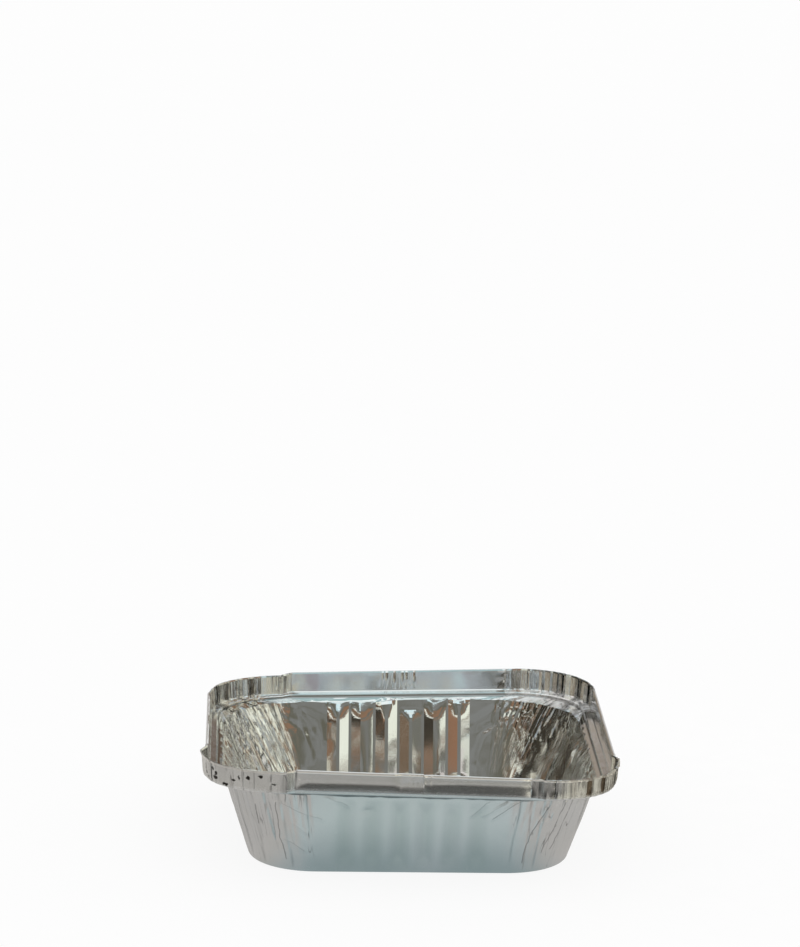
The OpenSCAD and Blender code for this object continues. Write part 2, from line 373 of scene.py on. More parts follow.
# Distance of each place on the straight sides from the nearest corner, 0 in the corners
FROM_CORNER = np.where(IN_CORNER, 0, straight_half(ROWS) - np.abs(along_straight(ROWS)))


# Depth of the ribs of the front, right, back and left walls, as shares of the full depth
WALL_RIBS = (0.7, 0.85, 1.0, 0.85)
# The back wall's ribs from left to right: depth, the share of it left just under the top, the
# length of the hip, how far the right flank bows inward at the top and the foot of the wall,
# and how much deeper the left edge of the ridge is there
BACK_RIBS = (
    (1.07, 0.1, 6.8, (0.0, 0.0), (0.0, 0.0)),
    (0.85, 0.1, 6.8, (0.07, 0.07), (0.5, 0.0)),
    (1.10, 0.6, 5.6, (0.0, 0.0), (0.0, 0.0)),
    (0.84, 0.00, 3.4, (0.02, -0.05), (0.0, 0.0)),
    (0.93, 0.05, 6.8, (0.03, -0.04), (0.45, 0.2)),
    (1.06, 0.6, 5.6, (0.0, 0.0), (0.0, 0.0)),
)


def ribs():
    """Hipped ribs pressed into each wall: flat flanks, a narrow ridge and sloping ends."""
    field = RIB_COUNT * RIB_PITCH / 2
    place = np.where(IN_CORNER, field * 2, COLUMNS.along)
    inside = (np.abs(place) < field) & (LENGTH < HEAD_LENGTH)
    from_ridge = (place + field) % RIB_PITCH - RIB_PITCH / 2
    flank = np.clip((RIB_RIDGE / 2 + RIB_FLANK - np.abs(from_ridge)) / RIB_FLANK, 0, 1)

    back = COLUMNS.side == BACK
    rib = np.clip((field - place) // RIB_PITCH, 0, RIB_COUNT - 1).astype(int)
    depths, heads, hips = (np.array([each[i] for each in BACK_RIBS])[rib] for i in range(3))
    head, hip = np.where(back, heads, 0.15), np.where(back, hips, RIB_TOP_SLOPE)
    ridge_end = RIB_TOP_MARGIN + RIB_TOP_SLOPE
    top = np.maximum(head, 1 + (UNDER_TOP - ridge_end) / hip * (1 - head))
    top = top * ramp(UNDER_TOP, 0.0, 0.7)
    foot = (HEIGHT - HEEL) / by_corner(RIB_FOOT_SLOPES)
    share = np.clip(np.minimum(np.minimum(flank, top), foot), 0, 1)
    depth = RIB_DEPTH * np.where(back, depths, by_corner(WALL_RIBS))

    bows, leans = (np.array([each[i] for each in BACK_RIBS])[rib] for i in (3, 4))
    bow, lean = (each[..., 1] + (each[..., 0] - each[..., 1]) * ramp(HEIGHT, 6, 28)
                 for each in (bows, leans))
    bowed = bow * 4 * flank * (1 - flank) * (from_ridge < 0)
    on_ridge = ramp(from_ridge, -RIB_RIDGE / 2, RIB_RIDGE / 2)
    leaning = lean * np.where(from_ridge > RIB_RIDGE / 2, flank, on_ridge)
    uneven = (bowed + leaning) * ramp(UNDER_TOP, 1, 7) * np.clip(foot, 0, 1) * back
    return -(depth * share + uneven) * inside


def crimps():
    """Small crimps that take up the edge's slack in the middle of each flange: narrow
    pinched folds that fan out towards the foot."""
    count = (CRIMP_COUNT - 1) / 2
    height = ramp(LENGTH, FOOT_LENGTH + 0.5, FOOT_LENGTH + 5)
    along = COLUMNS.along * (0.86 + 0.14 * height)
    nearest = np.clip(np.round(along / CRIMP_PITCH), -count, count)
    uneven = 0.6 + 0.4 * np.sin(nearest * 3.7 + COLUMNS.side * 2)
    pinch = peak(along, nearest * CRIMP_PITCH, CRIMP_WIDTH)
    return -CRIMP_DEPTH * pinch * uneven * ~IN_CORNER * height


def pleats():
    """Overlapping pleats that gather the corners, deepest in the flange. The first corner's
    run out over a plain strip at the flange's foot."""
    strip = 0.2 + 0.8 * ramp(LENGTH, FOOT_LENGTH + 0.6, FOOT_LENGTH + 2.6)
    strip = np.where(COLUMNS.side == FRONT, strip, 1.0)
    on_rim = np.where(ON_FLANGE, strip, by_corner(LEDGE_PLEATS))
    below = np.exp(-np.maximum(UNDER_TOP, 0) / COLUMNS.decay) * ease(HEIGHT, 0, 8)
    over_wall = LENGTH > HEAD_LENGTH
    row = np.where(over_wall, on_rim, below * by_corner(LEDGE_PLEATS))
    return by_corner(PLEAT_DEPTH) * COLUMNS.share * row * np.where(over_wall, IN_CORNER, GATHERED)


def corner_place(corner):
    """Distance round a corner from its middle, and how much each place belongs to it."""
    here = IN_CORNER & (COLUMNS.side == corner)
    before = ~IN_CORNER & (COLUMNS.side == corner) & (COLUMNS.along > 0)
    after = ~IN_CORNER & (COLUMNS.side == (corner + 1) % 4) & (COLUMNS.along < 0)
    from_side = AROUND - straight_half(ROWS) - HALF_ARC
    place = np.where(after, HALF_ARC + straight_half(ROWS) + AROUND, from_side)
    return place, here, before | after


def wall_folds():
    """Long folds gathered into the corners of the wall. Each is a leaning plane with a steep
    edge. It starts at the top of the wall and runs out on its way to the heel."""
    total, lines = np.zeros_like(PLAIN), np.zeros_like(PLAIN)
    for corner in range(4):
        chance = np.random.default_rng(90 + corner)
        place, here, beside = corner_place(corner)
        sway = Noise(60 + corner)
        count = WALL_FOLDS[corner]
        for fold in range(count):
            top = -0.97 + 1.94 * (fold + chance.uniform(0.1, 0.9)) / count
            foot = top + FOLD_SKEW[corner] + chance.normal(0, 0.13)
            end = chance.uniform(*FOLD_ENDS[corner])
            wide, steep = chance.uniform(1.6, 4.2), chance.uniform(0.4, 0.6)
            lean = chance.choice([-1, 1])
            down = ramp(HEIGHT, WALL_HEIGHT, 0)
            line = (top + (foot - top) * down) * HALF_ARC
            line = line + sway(SMOOTH_SHEET + 13 * fold, 7.0) * 0.45
            away = (place - line) * lean
            plane = np.where(away > 0, 1 - away / steep, 1 + away / wide)
            length = ease(HEIGHT, end, end + 9) * (0.7 + 0.3 * ramp(HEIGHT, 20, 33))
            deep = chance.uniform(0.5, 1.3)
            total -= FOLD_DEPTH[corner] * deep * np.maximum(0, plane) * length * (here | beside)
            # Painted shade: a dark line along the steep edge of each deep fold
            edge = np.maximum(0, 1 - np.abs(away / 0.5 - 0.5)) * length
            lines = np.maximum(lines, edge * (deep > 0.8) * (here | beside))
    back = (COLUMNS.side == BACK) | IN_BACK_RIGHT
    share = ON_WALL * np.where(back, GATHERED, 1.0)
    return total * share, lines * share


def crumple():
    """Crushed foil between the folds: facets that meet in sharp creases."""
    total = np.zeros_like(PLAIN)
    cover = Noise(5)
    for corner in range(4):
        chance = np.random.default_rng(70 + corner)
        place, here, beside = corner_place(corner)
        wave = np.zeros_like(PLAIN)
        for step in range(9):
            lean = math.radians(chance.uniform(-11, 11)) - FOLD_SKEW[corner] * 0.8
            size = chance.uniform(1.5, 4.5)
            bent = cover(SMOOTH_SHEET + 17 * step, 9.0) * 0.35
            phase = (place * math.cos(lean) + LENGTH * math.sin(lean)) / size
            phase = phase + bent + chance.uniform()
            some = ease(cover(SMOOTH_SHEET * [1, 1, 0.15] + 31 * step + 5, 4.0), -0.25, 0.4)
            wave += fold_wave(phase) * size * 0.05 * some
        reach = np.where(here, 1.0, ease(FROM_CORNER, 4, 0) * beside)
        total += CRUMPLE[corner] * wave * np.where(here, GATHERED, reach * (corner in (0, 3)))
    rise = 0.35 + 0.65 * ramp(HEIGHT, 3, 18)
    rise = np.where(IN_BACK_RIGHT, 0.1 + 0.9 * ramp(HEIGHT, 14, 26), rise)
    height = ON_WALL * rise * (1 - 0.3 * ramp(HEIGHT, 31, 33.3))
    on_rim = 0.14 * (LENGTH > HEAD_LENGTH)
    return total * (height + on_rim)


def slack():
    """The plain foil is never flat: long soft swells, and a few sharper ones."""
    swell = Noise(11)
    long = swell(SMOOTH_SHEET, 16.0) * 0.16 + swell(SMOOTH_SHEET + 40, 7.0) * 0.05
    sharp = fold_wave(swell(SMOOTH_SHEET + 90, 13.0) * 2.2) * 0.035
    amount = np.where(ON_FLANGE | ON_LEDGE, 0.45, 1.0) * ramp(HEIGHT, 0.2, 6)
    edge = 1 - 0.7 * ramp(LENGTH, HEAD_LENGTH - 3, HEAD_LENGTH) * (LENGTH < FOOT_LENGTH)
    stiff = 1 - 0.8 * ramp(np.abs(COLUMNS.along), 34, 30) * ~IN_CORNER
    return (long + sharp) * amount * edge * stiff


# Each crease: side, points as (distance across the side, height), depth outward and width
CREASES = (
    ("back", ((-45, 31), (-33, 26), (-30, 15)), 0.3, 2.2),
    ("back", ((-41, 29), (-36, 22)), -0.25, 1.6),
    ("back", ((-48, 27), (-40, 22), (-36, 12)), 0.25, 2.0),
    ("back", ((32, 25), (40, 29.5), (52, 31.5)), 0.3, 2.0),
    ("back", ((35, 22), (46, 27), (55, 28)), -0.25, 1.8),
    ("back", ((33, 12), (36, 20), (44, 24)), 0.25, 2.0),
    ("right", ((-18, 33), (-10, 20), (-14, 8)), 0.4, 1.6),
    ("left", ((16, 32), (8, 22), (13, 9)), -0.4, 1.5),
)
# The front's creases are as fine as pen lines: points as (distance across, height), width, and how
# dark the line of painted shade in the middle is
FRONT_CREASES = (
    (((-52.3, 29.5), (-50.5, 14.7), (-47.6, 5.3)), 0.9, 0.75),
    (((-60.3, 27.2), (-58.6, 18.8)), 0.8, 0.7),
    (((-50.0, 29.6), (-42, 25.8), (-34.6, 23.2)), 1.7, 0.25),
    (((-33.4, 33.0), (-25.2, 29.5)), 1.5, 0.2),
    (((-48.6, 13.9), (-40.8, 9.7)), 1.5, 0.25),
    (((-46, 21), (-40.5, 17.5)), 1.2, 0.1),
    (((29.0, 31.5), (22.7, 25.5)), 1.6, 0.3),
    (((41.6, 32.3), (30.5, 24.3)), 1.2, 0.5),
    (((36, 31), (27, 25.5)), 1.2, 0.2),
    (((52.5, 28.5), (45.1, 16.5), (42.5, 5.1)), 1.0, 0.8),
    (((59.0, 29.6), (50.5, 8.9)), 0.9, 0.75),
    (((62.0, 29.6), (54.0, 9.5)), 0.8, 0.65),
)
# Each dimple: side, middle, half sizes and depth outward; the last number is 1 for a ring
DIMPLES = (
    ("front", (-18.0, 26.6), (3.4, 1.5), -0.5, 0),
    ("front", (51.5, 26.5), (2.4, 3.2), -0.45, 1),
    ("back", (-38.0, 20.0), (6.0, 8.0), 0.12, 0),
    ("right", (24.0, 20.0), (9.0, 7.0), 0.5, 0),
    ("left", (-20.0, 19.0), (8.0, 7.0), -0.5, 0),
)


def side_view(side):
    """Distance across a side and height on it, for the sheet's places on that side."""
    across = SMOOTH_SHEET[..., 0] if side in ("front", "back") else SMOOTH_SHEET[..., 1]
    facing = {"front": -SMOOTH_SHEET[..., 1], "back": SMOOTH_SHEET[..., 1],
              "left": -SMOOTH_SHEET[..., 0], "right": SMOOTH_SHEET[..., 0]}[side]
    return across, HEIGHT + PLAIN, (facing > 30) & (LENGTH < HEAD_LENGTH) & (HEIGHT > 1)


def handling():
    """Creases and dimples left by handling: each crease is steep on one side."""
    total = np.zeros_like(PLAIN)
    for side, points, depth, width in CREASES:
        across, height, here = side_view(side)
        near = np.full_like(PLAIN, 99.0)
        steep = np.zeros_like(PLAIN)
        for (x0, z0), (x1, z1) in zip(points[:-1], points[1:]):
            dx, dz = x1 - x0, z1 - z0
            size = math.hypot(dx, dz)
            share = np.clip(((across - x0) * dx + (height - z0) * dz) / size ** 2, 0, 1)
            away = np.hypot(across - x0 - dx * share, height - z0 - dz * share)
            leading = ((across - x0) * dz - (height - z0) * dx) > 0
            steep = np.where(away < near, leading, steep)
            near = np.minimum(near, away)
        reach = np.where(steep > 0, 2.4 * width, 0.8 * width)
        total += depth * peak(near, 0, reach) ** 1.2 * here
    for side, middle, half, depth, ring in DIMPLES:
        across, height, here = side_view(side)
        away = np.hypot((across - middle[0]) / half[0], (height - middle[1]) / half[1])
        total += depth * (peak(away, 0.8, 0.35) if ring else peak(away) ** 0.9) * here
    return total


# Small dark patches of painted shade where openings between the laps of the front left corner would
# be: angle round it, height, half width and half height
OPENING_SHADES = (
    (35, 41.6, 0.9, 0.7), (38.5, 40.2, 0.9, 0.8), (37.5, 38.6, 1.4, 0.8), (46, 37.2, 1.5, 0.6),
    (24, 40.6, 0.45, 1.5), (25.5, 38.7, 0.7, 0.6), (56, 40.6, 0.45, 1.1), (61.5, 41.0, 0.7, 0.9),
    (69, 42.0, 0.8, 0.7), (77, 39.4, 0.7, 0.4), (52, 39.4, 1.0, 0.4), (29, 37.6, 0.6, 0.4),
)


def lap_lines():
    """Lines of painted shade along the edges of the pleats on the flange, where one laps over the
    next.
    """
    strength = np.abs(COLUMNS.lap) / 0.35
    broken = ease(Noise(37)(SMOOTH_SHEET * [1, 1, 1.6], 3.0), -0.5, 0.2)
    return strength * broken * ON_FLANGE * IN_CORNER * by_corner((0.9, 0.6, 0.6, 0.6))


def flange_kinks():
    """The front flange is pushed in at its middle, with a sharp crease, and the end of each
    straight part is crumpled where the pleats begin."""
    front = ~IN_CORNER & (COLUMNS.side == FRONT)
    along = COLUMNS.along
    pushed = np.minimum(ramp(along, -7.5, -5.5), ramp(along, 3.9, 3.3)) * ramp(HEIGHT, 37, 43)
    total = (0.35 * peak(along, 3.7, 0.9) - 0.6 * pushed) * front
    rise = ramp(HEIGHT, LEDGE_TOP, FLANGE_TOP - LIP_RISE)
    fullest = 0.45 + 0.25 * ramp(along, -8, 20)
    belly = np.minimum(rise / fullest, (1 - rise) / (1 - fullest)) * ramp(np.abs(along), 45, 42)
    total = total + 0.5 * belly * front
    end = ramp(np.abs(along), 42.5, 44.5) * ~IN_CORNER
    rough = Noise(23)(SMOOTH_SHEET, 1.7)
    return (total + 0.45 * rough * end) * ON_FLANGE


def uneven_head():
    """Shift upward: the top of the back wall has a kink at its middle, and wavers."""
    near = ease(LENGTH, HEAD_LENGTH - 5, HEAD_LENGTH)
    near = near * ease(LENGTH, HEAD_LENGTH + 1.6, HEAD_LENGTH + 0.4)
    back = (COLUMNS.side == BACK) & ~IN_CORNER
    kink = np.where(back, ramp(-COLUMNS.along, -7, -1) * 0.8 - 0.4, 0.0)
    outline = SMOOTH_SHEET * [1, 1, 0]
    waver = Noise(31)(outline, 3.2) * 0.22 + Noise(33)(outline, 9.0) * 0.2
    return near * (kink * ramp(FROM_CORNER, 0, 8) + waver)


def corner_bends():
    """Each corner of the rim has bent outward or inward, and fallen, as a whole."""
    share = ramp(LENGTH, HEAD_LENGTH, FOOT_LENGTH)
    start = np.minimum(1, np.minimum(COLUMNS.turn, 90 - COLUMNS.turn) / BEND_START)
    out = by_corner(CORNER_BEND) * start + by_corner(CORNER_BULGE) * MID_CORNER ** 2
    fall = -by_corner(CORNER_DROP) * start
    return share * out * IN_CORNER, share * fall * IN_CORNER


def rolled_hem(outward, upward, turn):
    """The edge flares outward to a crest, rolls over and is pressed down, tighter in the
    corners. Points outward and upward of the flange's top row."""
    reach = np.where(IN_CORNER, CORNER_HEM_REACH, HEM_REACH)
    height = np.where(IN_CORNER, CORNER_HEM_HEIGHT, HEM_HEIGHT)
    crest = reach * (1 - CREST_INSET / HEM_REACH)
    uneven = Noise(3)(SMOOTH_SHEET[-1:] + 3, 2.5) * 0.15 * IN_CORNER
    edge = LIP_RISE - height + uneven
    places = (
        (crest * 0.45, LIP_RISE * 0.5),
        (crest * 0.85, LIP_RISE * 0.93),
        (crest + (reach - crest) * 0.35, LIP_RISE + PLAIN[:1]),
        (reach * 0.98, LIP_RISE * 0.8),
        (reach, LIP_RISE * 0.25),
        (reach * 0.97, edge * 0.75),
        (reach * 0.86, edge),
    )
    return [(ROWS[-1], outward[-1:] + out, upward[-1:] + up, turn[-1:]) for out, up in places]


# ---- The sheet's two faces, joined at the cut edge of the hem

def pressed_sheet():
    """Points of the middle of the foil up to the hem's edge, and the lines of painted shade on it.
    """
    folds, fold_lines = wall_folds()
    shift = ribs() + crimps() + pleats() + folds
    shift = shift + crumple() + slack() + handling() + flange_kinks()
    bend, fall = corner_bends()
    outward = ACROSS[:, 0:1] * shift + bend
    upward = ACROSS[:, 1:2] * shift + fall + uneven_head()
    lapped = COLUMNS.lap + np.sign(COLUMNS.lap) * 0.1
    lapped = ease(LENGTH, HEAD_LENGTH - 5, HEAD_LENGTH + 1) * lapped
    turn = TURN + np.degrees(lapped / 30)
    parts = [place_sheet(ROWS, turn, outward, upward)]
    for row, out, up, lap in rolled_hem(outward, upward, turn):
        parts.append(place_sheet(row[None, :], lap, out, up))
    return np.concatenate(parts), np.maximum(0.35 * fold_lines, lap_lines())


# The base's panel: its rows as shares of the way out to its edge, and the height of its middle
BASE_SHARES = (0.06, 0.2, 0.36, 0.54, 0.72, 0.88)
PANEL_HEIGHT = PANEL_LIFT + 0.1
# The sheet's rows from the base's panel to its edge, then those of the profile, then the hem's
BASE_COUNT = len(BASE_SHARES)
HEM_START = BASE_COUNT + PROFILE_COUNT
PROFILE = slice(BASE_COUNT, HEM_START)


def base_rows(edge):
    """Rows of the base's panel, drawn in from its edge, with the soft dents of thin foil."""
    dent = Noise(29)
    rows = []
    for share in BASE_SHARES:
        row = edge * np.array([share, share, 1.0])
        place = row * [1, 1, 0]
        sag = (dent(place, 19.0) * 0.16 + dent(place + 50, 8.0) * 0.05) * min(1, (1 - share) * 4)
        row[..., 2] = PANEL_HEIGHT + sag
        rows.append(row)
    return np.concatenate(rows)


def sheet_normals(grid):
    round_run = np.roll(grid, -1, 1) - np.roll(grid, 1, 1)
    up_run = np.gradient(grid, axis=0)
    normal = np.cross(round_run, up_run)
    return normal / np.maximum(np.linalg.norm(normal, axis=2, keepdims=True), 1e-9)


def grid_faces(rows, count, start, flip):
    index = np.arange(rows * count).reshape(rows, count) + start
    after = np.roll(index, -1, 1)
    quads = np.stack([index[:-1], after[:-1], after[1:], index[1:]], -1).reshape(-1, 4)
    return quads[:, ::-1] if flip else quads


def put_mark(mesh, name, outside, inside, middle=(0, 0)):
    """A mark for the finish: its values on the outer face, the inner face and the two points in
    the middle of the base. A mark of three numbers is a place."""
    kind, field = "FLOAT", "value"
    if outside.ndim == 3:
        kind, field, middle = "FLOAT_VECTOR", "vector", np.zeros(6)
    values = np.concatenate([outside.ravel(), inside.ravel(), middle])
    mark = mesh.attributes.new(name, kind, "POINT")
    mark.data.foreach_set(field, values.astype(np.float32))


# From one side's places to the next's in the mark fall_line
SIDE_STEP = 200


def place_marks(mesh, grid):
    """Where each point lies on the sheet, in millimetres: as a flat blank, and as the distance
    round the rim and up the profile."""
    rows, count = grid.shape[:2]
    hem = PROFILE_LENGTH[-1] + np.arange(1, rows - HEM_START + 1)
    lengths = np.concatenate([[0] * BASE_COUNT, PROFILE_LENGTH, hem])
    lengths = np.broadcast_to(lengths[:, None], (rows, count))
    base = grid[BASE_COUNT] * [1, 1, 0]
    out = base / np.linalg.norm(base, axis=1)[:, None]
    flat_sheet = np.where(lengths[..., None] > 0, base + out * lengths[..., None], grid * [1, 1, 0])
    half_arc = np.radians(45) * RIM_CORNER
    around = np.where(IN_CORNER, np.radians(COLUMNS.turn) * RIM_CORNER, half_arc + COLUMNS.along)
    around = around + COLUMNS.side * SIDE_STEP
    fall_line = np.stack([around + 0 * lengths, lengths, 0 * lengths], -1)
    gathered = np.where(lengths < HEAD_LENGTH, GATHERED, IN_CORNER)
    gathered = gathered * ease(lengths, HEEL_LENGTH, HEEL_LENGTH + 12)
    put_mark(mesh, "gathered", gathered, gathered)
    put_mark(mesh, "flat_sheet", flat_sheet, flat_sheet)
    put_mark(mesh, "fall_line", fall_line, fall_line)


def finish_and_painted_light_marks(mesh, grid, lines):
    """Where the foil has dark stains with painted shade, painted highlights, and painted shade at
    its folds, rib grooves and ledge. The outer face is satin.
    """
    def on_profile(values):
        marked = np.zeros(grid.shape[:2])
        marked[PROFILE] = values
        return marked

    # Dark stain with painted shade on some pleats of the flange and on their hem, half as strong
    # inside
    stain = on_profile(ramp(LENGTH, FOOT_LENGTH + 0.5, FOOT_LENGTH + 1.5))
    stain[HEM_START:] = 1.0
    stain = COLUMNS.stain * stain

    # Painted highlights: a pale, dull line along the crest of the hem and the foot of the flange,
    # and inside along the lid's seat and over the back right corner's whole ledge
    scuff = on_profile(0.35 * peak(LENGTH, FOOT_LENGTH, 0.5))
    scuff[HEM_START + 1:HEM_START + 4] = np.where(IN_CORNER, 0.2, 1.0)
    seat = np.maximum((LENGTH > SEAT_LENGTH - 0.3) & ON_LEDGE, 3.2 * (ON_LEDGE & IN_BACK_RIGHT))
    seat_painted_highlight = on_profile(0.15 * seat * (0.8 + 0.8 * Noise(51)(SMOOTH_SHEET, 1.6)))

    # Painted shade: dark lines along the edges of folds and pleats, the shade under the ledge and
    # the hem, and a dark line inside at the foot of the ledge's step
    gap = on_profile(lines)
    gap[HEM_START:] = lines[-1] * 0.5
    under = on_profile(0.55 * ((LENGTH > HEAD_LENGTH) & (LENGTH < HEAD_LENGTH + 1.6)))
    under[HEM_START - 1] = 0.4
    under[-2:] = 0.9
    step_shade_line = on_profile(0.8 * peak(LENGTH, STEP_LENGTH, 0.7))

    # Painted shade in the rib grooves of the outer face, by their depth
    rib_groove, plain = on_profile(-ribs() / RIB_DEPTH), on_profile(0)
    put_mark(mesh, "gap", np.maximum(gap, under), np.maximum(gap * 0.35, step_shade_line))
    put_mark(mesh, "stain", stain, stain * 0.5)
    put_mark(mesh, "scuff", scuff, np.maximum(scuff * 0.6, seat_painted_highlight))
    put_mark(mesh, "rib_groove", rib_groove, plain)
    put_mark(mesh, "satin", plain + 1, plain, middle=(1, 0))


def new_object(name, data):
    thing = bpy.data.objects.new(name, data)
    bpy.context.scene.collection.objects.link(thing)
    return thing


def build_tray():
    sheet, lines = pressed_sheet()
    grid = np.concatenate([base_rows(sheet[:1]), sheet])
    normal = sheet_normals(grid)
    rows, count = grid.shape[:2]
    outer = grid + normal * FOIL / 2
    inner = grid - normal * FOIL / 2
    # The foil's underside stays on the table
    outer[..., 2] = np.maximum(outer[..., 2], 0.0)
    middle = np.array([[0, 0, PANEL_HEIGHT - FOIL / 2], [0, 0, PANEL_HEIGHT + FOIL / 2]])
    points = np.concatenate([outer.reshape(-1, 3), inner.reshape(-1, 3), middle])

    # Each face of the foil, then the cut edge and the middle of the base on both faces
    last, both = (rows - 1) * count, rows * count
    faces = np.concatenate([grid_faces(rows, count, 0, False), grid_faces(rows, count, both, True)])
    faces = faces.tolist()
    for step in range(count):
        after = (step + 1) % count
        faces.append([last + step, last + after, last + after + both, last + step + both])
        faces.append([after, step, 2 * both])
        faces.append([both + step, both + after, 2 * both + 1])

    mesh = bpy.data.meshes.new("foil_tray")
    mesh.from_pydata((points * MM).tolist(), [], faces)
    mesh.polygons.foreach_set("use_smooth", np.ones(len(mesh.polygons), bool))
    mesh.set_sharp_from_angle(angle=math.radians(CREASE_ANGLE))
    finish_and_painted_light_marks(mesh, grid, lines)
    place_marks(mesh, grid)
    mesh.validate()
    return new_object("foil_tray", mesh)


# ---- Finishes

class Wire:
    """A socket in a material, with arithmetic that adds the material's own Math nodes."""

    def __init__(self, tree, socket):
        self.tree, self.socket = tree, socket

    def math(self, operation, *others, swap=False, clamp=False):
        values = [self, *others]
        if swap:
            values.reverse()
        settings = {"operation": operation, "use_clamp": clamp}
        return node_of(self.tree, "Math", settings, values)[0]

    __add__ = __radd__ = partialmethod(math, "ADD")
    __mul__ = __rmul__ = partialmethod(math, "MULTIPLY")
    __sub__, __truediv__ = partialmethod(math, "SUBTRACT"), partialmethod(math, "DIVIDE")
    __rsub__ = partialmethod(math, "SUBTRACT", swap=True)

    def clamped(self):
        return self.math("ADD", 0.0, clamp=True)

    def between(self, low, high):
        """0 below low, 1 above high, and a smooth rise between them."""
        return node_of(self.tree, "MapRange", {"interpolation_type": "SMOOTHSTEP"}, {
            "Value": self, "From Min": low, "From Max": high})["Result"]


class Outputs:
    """A node's outputs, by name or by number, as wires."""

    def __init__(self, tree, node):
        self.tree, self.node = tree, node

    def __getitem__(self, key):
        return Wire(self.tree, self.node.outputs[key])


def node_of(tree, kind, settings=None, sockets=None):
    """Adds one node. Settings come first, then the sockets' values or wires."""
    node = tree.nodes.new("ShaderNode" + kind)
    for name, value in (settings or {}).items():
        if name == "stops":
            stops = node.color_ramp.elements
            while len(stops) > 1:
                stops.remove(stops[-1])
            stops[0].position, stops[0].color = value[0]
            for place, color in value[1:]:
                stops.new(place).color = color
        else:
            setattr(node, name, value)
    pairs = sockets.items() if isinstance(sockets, dict) else enumerate(sockets or [])
    for key, value in pairs:
        if isinstance(value, Wire):
            tree.links.new(value.socket, node.inputs[key])
        else:
            node.inputs[key].default_value = value
    return Outputs(tree, node)


def most(first, second):
    """The larger of two wires, or the second when there is no first yet."""
    return second if first is None else first.math("MAXIMUM", second)


def vector_math(tree, operation, *sockets):
    return node_of(tree, "VectorMath", {"operation": operation}, sockets)


def noise(tree, place, scale, detail, roughness=0.5, output="Fac"):
    return node_of(tree, "TexNoise", None, {
        "Vector": place, "Scale": scale, "Detail": detail, "Roughness": roughness})[output]


def blend(tree, share, first, second):
    """Mixes two colours, each a wire or (red, green, blue)."""
    colors = [color if isinstance(color, Wire) else (*color, 1) for color in (first, second)]
    return node_of(tree, "Mix", {"data_type": "RGBA", "clamp_factor": True}, {
        0: share, 6: colors[0], 7: colors[1]})[2]


def new_material(name):
    material = bpy.data.materials.new(name)
    material.use_nodes = True
    material.node_tree.nodes.clear()
    return material, material.node_tree


def finish_of(tree, surface):
    node_of(tree, "OutputMaterial", None, {"Surface": surface})


BRIGHT_WARM, BRIGHT_COOL = (0.86, 0.855, 0.83), (0.92, 0.92, 0.92)
SATIN_DARK, SATIN_PALE = (0.75, 0.77, 0.78), (0.81, 0.83, 0.84)
# The tone of painted shade in the rib grooves, and of dark stain with painted shade on the pleats
GROOVE_SHADE_TONE, STAIN_AND_SHADE_TONE = (0.62, 0.67, 0.66), (0.17, 0.14, 0.11)
# The pale, dull tone of painted highlights, and the near black of painted shade
PAINTED_HIGHLIGHT_TONE, PAINTED_SHADE_TONE = (0.97, 0.97, 0.96), (0.03, 0.028, 0.025)
# Half the width of the line of painted shade in the middle of a crease
CREASE_SHADE_WIDTH = 0.3


